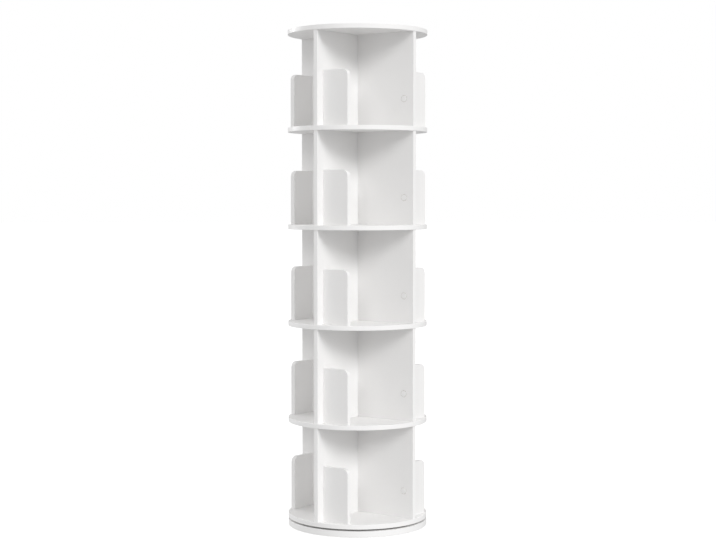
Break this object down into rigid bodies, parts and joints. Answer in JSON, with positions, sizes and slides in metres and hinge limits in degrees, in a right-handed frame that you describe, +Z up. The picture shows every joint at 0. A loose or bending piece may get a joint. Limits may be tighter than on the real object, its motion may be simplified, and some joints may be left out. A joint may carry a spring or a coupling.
{
  "type": "revolving bookcase",
  "caption": "Round revolving tower bookcase with open compartments and book stops, turning on a ball bearing over a round base.",
  "frame": {"origin": "on the floor, on the turning axis, at the centre of the base", "axes": "+Z up along the turning axis; the uprights lie along X and Y, and the compartment that faces the viewer in the picture lies between +X and -Y"},
  "size_m": [0.46, 0.46, 1.638],
  "materials": {
    "white_laminate": "white melamine-faced board with a satin surface and banded edges",
    "base_laminate": "white melamine-faced board with a satin surface and banded edge",
    "race_steel": "zinc-plated pressed steel",
    "screw_zinc": "bright zinc plate",
    "cage_nylon": "natural nylon, with steel balls",
    "pad_felt": "grey pressed felt"
  },
  "bodies": {
    "base": {"base_board": "base_laminate", "base_pad_1": "pad_felt", "base_pad_2": "pad_felt", "base_pad_3": "pad_felt", "base_pad_4": "pad_felt", "base_pad_5": "pad_felt", "base_pad_6": "pad_felt", "bearing_base_screw_1": "screw_zinc", "bearing_base_screw_2": "screw_zinc", "bearing_base_screw_3": "screw_zinc", "bearing_base_screw_4": "screw_zinc", "bearing_lower_race": "race_steel"},
    "ball_cage": {"bearing_ball_cage": "cage_nylon"},
    "carousel": {"bearing_tower_screw_1": "screw_zinc", "bearing_tower_screw_2": "screw_zinc", "bearing_tower_screw_3": "screw_zinc", "bearing_tower_screw_4": "screw_zinc", "bearing_upper_race": "race_steel", "bottom_shelf": "white_laminate", "shelf_2": "white_laminate", "shelf_3": "white_laminate", "shelf_4": "white_laminate", "shelf_5": "white_laminate", "tier_1_book_stop_1": "white_laminate", "tier_1_book_stop_2": "white_laminate", "tier_1_book_stop_3": "white_laminate", "tier_1_book_stop_4": "white_laminate", "tier_1_front_upright": "white_laminate", "tier_1_rear_upright": "white_laminate", "tier_1_wide_upright": "white_laminate", "tier_2_book_stop_1": "white_laminate", "tier_2_book_stop_2": "white_laminate", "tier_2_book_stop_3": "white_laminate", "tier_2_book_stop_4": "white_laminate", "tier_2_front_upright": "white_laminate", "tier_2_rear_upright": "white_laminate", "tier_2_wide_upright": "white_laminate", "tier_3_book_stop_1": "white_laminate", "tier_3_book_stop_2": "white_laminate", "tier_3_book_stop_3": "white_laminate", "tier_3_book_stop_4": "white_laminate", "tier_3_front_upright": "white_laminate", "tier_3_rear_upright": "white_laminate", "tier_3_wide_upright": "white_laminate", "tier_4_book_stop_1": "white_laminate", "tier_4_book_stop_2": "white_laminate", "tier_4_book_stop_3": "white_laminate", "tier_4_book_stop_4": "white_laminate", "tier_4_front_upright": "white_laminate", "tier_4_rear_upright": "white_laminate", "tier_4_wide_upright": "white_laminate", "tier_5_book_stop_1": "white_laminate", "tier_5_book_stop_2": "white_laminate", "tier_5_book_stop_3": "white_laminate", "tier_5_book_stop_4": "white_laminate", "tier_5_front_upright": "white_laminate", "tier_5_rear_upright": "white_laminate", "tier_5_wide_upright": "white_laminate", "top_panel": "white_laminate"}
  },
  "joints": [
    {"name": "carousel_spin", "type": "hinge", "parent": "base", "child": "carousel", "pos_m": [0, 0, 0.025], "axis": [0, 0, 1], "continuous": true},
    {"name": "cage_spin", "type": "hinge", "parent": "base", "child": "ball_cage", "pos_m": [0, 0, 0.025], "axis": [0, 0, 1], "continuous": true}
  ],
  "couplings": [
    {"joint": "cage_spin", "follows": "carousel_spin", "ratio": 0.5}
  ]
}
